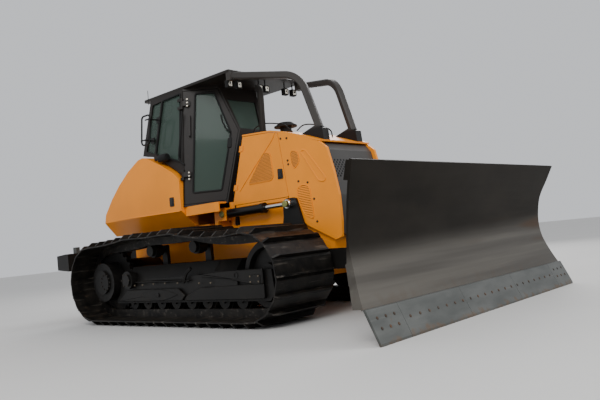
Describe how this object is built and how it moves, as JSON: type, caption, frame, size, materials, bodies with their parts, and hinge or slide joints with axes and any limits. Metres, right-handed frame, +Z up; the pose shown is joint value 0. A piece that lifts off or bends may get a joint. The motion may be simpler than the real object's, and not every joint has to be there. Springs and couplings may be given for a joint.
{
  "type": "crawler dozer",
  "caption": "Wide-pad crawler dozer with a glazed cab, roll-over sweeps, a C-frame blade that lifts, angles and tilts, and a rear ripper.",
  "frame": {"origin": "on the ground, at the middle of the overall length and width", "axes": "+X forward towards the blade, +Y to the machine's left, +Z up"},
  "size_m": [6.855, 4.1556, 3.095],
  "materials": {
    "body_paint": "orange-yellow gloss paint, dusty low down",
    "cab_paint": "dark warm grey paint",
    "track_steel": "dark worn steel with polished, dusty edges",
    "frame_black": "black paint under dry dust",
    "cylinder_paint": "black satin paint",
    "nose_paint": "grey paint",
    "blade_paint": "dark paint above, bare polished steel below",
    "edge_steel": "worn blue-grey steel",
    "rod_chrome": "chromed rod",
    "window_glass": "greenish safety glass",
    "engine_metal": "dark cast iron",
    "stack_metal": "heat-dulled black paint",
    "seat_cloth": "dark seat cloth",
    "console_plastic": "dark grey plastic"
  },
  "bodies": {
    "tractor": {"bulkhead": "frame_black", "cab_frame": "cab_paint", "cab_glass": "window_glass", "consoles": "console_plastic", "engine": "engine_metal", "exhaust": "stack_metal", "front_panel_left": "body_paint", "front_panel_right": "body_paint", "hood_top": "body_paint", "idlers": "frame_black", "lamps": "frame_black", "loop_rails": "frame_black", "main_frame": "body_paint", "nose": "nose_paint", "pivot_caps": "frame_black", "pivot_shaft": "frame_black", "pre_cleaner": "frame_black", "radiator": "frame_black", "rear_body": "body_paint", "ripper_mount": "frame_black", "rollers": "frame_black", "roof": "cab_paint", "seat": "seat_cloth", "sprocket_left": "frame_black", "sprocket_right": "frame_black", "step_rails": "body_paint", "sweeps": "cab_paint", "track_frame_left": "frame_black", "track_frame_right": "frame_black", "track_left": "track_steel", "track_right": "track_steel"},
    "blade_frame": {"c_frame": "frame_black"},
    "yoke": {"yoke": "frame_black"},
    "blade": {"blade": "blade_paint", "cutting_edge": "edge_steel"},
    "door_right": {"door_right": "cab_paint", "door_glass_right": "window_glass"},
    "door_left": {"door_left": "cab_paint", "door_glass_left": "window_glass"},
    "engine_door_right": {"engine_door_right": "body_paint"},
    "engine_door_left": {"engine_door_left": "body_paint"},
    "ripper": {"ripper_frame": "frame_black", "ripper_shanks": "edge_steel"},
    "tilt_barrel": {"tilt_barrel": "cylinder_paint"},
    "tilt_rod": {"tilt_rod": "rod_chrome"},
    "lift_barrel_right": {"lift_barrel_right": "cylinder_paint"},
    "lift_rod_right": {"lift_rod_right": "rod_chrome"},
    "angle_barrel_right": {"angle_barrel_right": "cylinder_paint"},
    "angle_rod_right": {"angle_rod_right": "rod_chrome"},
    "ripper_barrel_right": {"ripper_barrel_right": "cylinder_paint"},
    "ripper_rod_right": {"ripper_rod_right": "rod_chrome"},
    "lift_barrel_left": {"lift_barrel_left": "cylinder_paint"},
    "lift_rod_left": {"lift_rod_left": "rod_chrome"},
    "angle_barrel_left": {"angle_barrel_left": "cylinder_paint"},
    "angle_rod_left": {"angle_rod_left": "rod_chrome"},
    "ripper_barrel_left": {"ripper_barrel_left": "cylinder_paint"},
    "ripper_rod_left": {"ripper_rod_left": "rod_chrome"}
  },
  "joints": [
    {"name": "blade_lower", "type": "hinge", "parent": "tractor", "child": "blade_frame", "pos_m": [0.6025, 0, 0.64], "axis": [0, 1, 0], "range_deg": [-18, 9]},
    {"name": "blade_angle", "type": "hinge", "parent": "blade_frame", "child": "yoke", "pos_m": [2.7525, 0, 0.56], "axis": [0, 0, 1], "range_deg": [-18, 18]},
    {"name": "blade_tilt", "type": "hinge", "parent": "yoke", "child": "blade", "pos_m": [2.9925, 0, 0.56], "axis": [1, 0, 0], "range_deg": [-9, 9]},
    {"name": "ripper_lower", "type": "hinge", "parent": "tractor", "child": "ripper", "pos_m": [-2.3475, 0, 0.7], "axis": [0, -1, 0], "range_deg": [-8, 35]},
    {"name": "lift_right_swing", "type": "hinge", "parent": "tractor", "child": "lift_barrel_right", "pos_m": [0.0745, -0.558, 1.308], "axis": [0, 1, 0], "range_deg": [-10, 5.2]},
    {"name": "lift_right_stroke", "type": "slide", "parent": "lift_barrel_right", "child": "lift_rod_right", "axis": [1, 0, 0.008], "range_m": [-0.222, 0.113]},
    {"name": "angle_right_swing", "type": "hinge", "parent": "blade_frame", "child": "angle_barrel_right", "pos_m": [2.1525, -0.455, 0.7865], "axis": [0, 0, 1], "range_deg": [-11.5, 11.5]},
    {"name": "angle_right_stroke", "type": "slide", "parent": "angle_barrel_right", "child": "angle_rod_right", "axis": [0.9049, -0.4255, 0], "range_m": [-0.2132, 0.2132]},
    {"name": "ripper_right_swing", "type": "hinge", "parent": "tractor", "child": "ripper_barrel_right", "pos_m": [-2.2875, -0.3, 1.135], "axis": [0, -1, 0], "range_deg": [-6.9, 29.1]},
    {"name": "ripper_right_stroke", "type": "slide", "parent": "ripper_barrel_right", "child": "ripper_rod_right", "axis": [-0.9988, 0, -0.0499], "range_m": [-0.06, 0.249]},
    {"name": "lift_left_swing", "type": "hinge", "parent": "tractor", "child": "lift_barrel_left", "pos_m": [0.0745, 0.558, 1.308], "axis": [0, 1, 0], "range_deg": [-10, 5.2]},
    {"name": "lift_left_stroke", "type": "slide", "parent": "lift_barrel_left", "child": "lift_rod_left", "axis": [1, 0, 0.008], "range_m": [-0.222, 0.113]},
    {"name": "angle_left_swing", "type": "hinge", "parent": "blade_frame", "child": "angle_barrel_left", "pos_m": [2.1525, 0.455, 0.7865], "axis": [0, 0, 1], "range_deg": [-11.5, 11.5]},
    {"name": "angle_left_stroke", "type": "slide", "parent": "angle_barrel_left", "child": "angle_rod_left", "axis": [0.9049, 0.4255, 0], "range_m": [-0.2132, 0.2132]},
    {"name": "ripper_left_swing", "type": "hinge", "parent": "tractor", "child": "ripper_barrel_left", "pos_m": [-2.2875, 0.3, 1.135], "axis": [0, -1, 0], "range_deg": [-6.9, 29.1]},
    {"name": "ripper_left_stroke", "type": "slide", "parent": "ripper_barrel_left", "child": "ripper_rod_left", "axis": [-0.9988, 0, -0.0499], "range_m": [-0.06, 0.249]},
    {"name": "tilt_swing", "type": "hinge", "parent": "yoke", "child": "tilt_barrel", "pos_m": [3.0075, -0.42, 1.01], "axis": [1, 0, 0], "range_deg": [-4.7, 4.7]},
    {"name": "tilt_stroke", "type": "slide", "parent": "tilt_barrel", "child": "tilt_rod", "axis": [0, 1, 0], "range_m": [-0.0746, 0.0746]},
    {"name": "door_right", "type": "hinge", "parent": "tractor", "child": "door_right", "pos_m": [-0.39043, -0.77767, 2.37], "axis": [0, -0.0896, -0.996], "range_deg": [0, 75]},
    {"name": "door_left", "type": "hinge", "parent": "tractor", "child": "door_left", "pos_m": [-0.39043, 0.77767, 2.37], "axis": [0, -0.0896, 0.996], "range_deg": [0, 75]},
    {"name": "engine_door_right", "type": "hinge", "parent": "tractor", "child": "engine_door_right", "pos_m": [0.3015, -0.482, 1.8775], "axis": [-0.3332, 0, -0.9429], "range_deg": [0, 60]},
    {"name": "engine_door_left", "type": "hinge", "parent": "tractor", "child": "engine_door_left", "pos_m": [0.3015, 0.482, 1.8775], "axis": [0.3332, 0, 0.9429], "range_deg": [0, 60]}
  ],
  "couplings": [
    {"joint": "lift_right_swing", "follows": "blade_lower", "ratio": 0.534},
    {"joint": "lift_right_stroke", "follows": "blade_lower", "m_per_rad": 0.6938},
    {"joint": "angle_right_swing", "follows": "blade_angle", "ratio": 0.6217},
    {"joint": "angle_right_stroke", "follows": "blade_angle", "m_per_rad": 0.6658},
    {"joint": "ripper_right_swing", "follows": "ripper_lower", "ratio": 0.821},
    {"joint": "ripper_right_stroke", "follows": "ripper_lower", "m_per_rad": 0.4011},
    {"joint": "lift_left_swing", "follows": "blade_lower", "ratio": 0.534},
    {"joint": "lift_left_stroke", "follows": "blade_lower", "m_per_rad": 0.6938},
    {"joint": "angle_left_swing", "follows": "blade_angle", "ratio": 0.6217},
    {"joint": "angle_left_stroke", "follows": "blade_angle", "m_per_rad": -0.6658},
    {"joint": "ripper_left_swing", "follows": "ripper_lower", "ratio": 0.821},
    {"joint": "ripper_left_stroke", "follows": "ripper_lower", "m_per_rad": 0.4011},
    {"joint": "tilt_swing", "follows": "blade_tilt", "ratio": 0.4867},
    {"joint": "tilt_stroke", "follows": "blade_tilt", "m_per_rad": -0.4495}
  ]
}
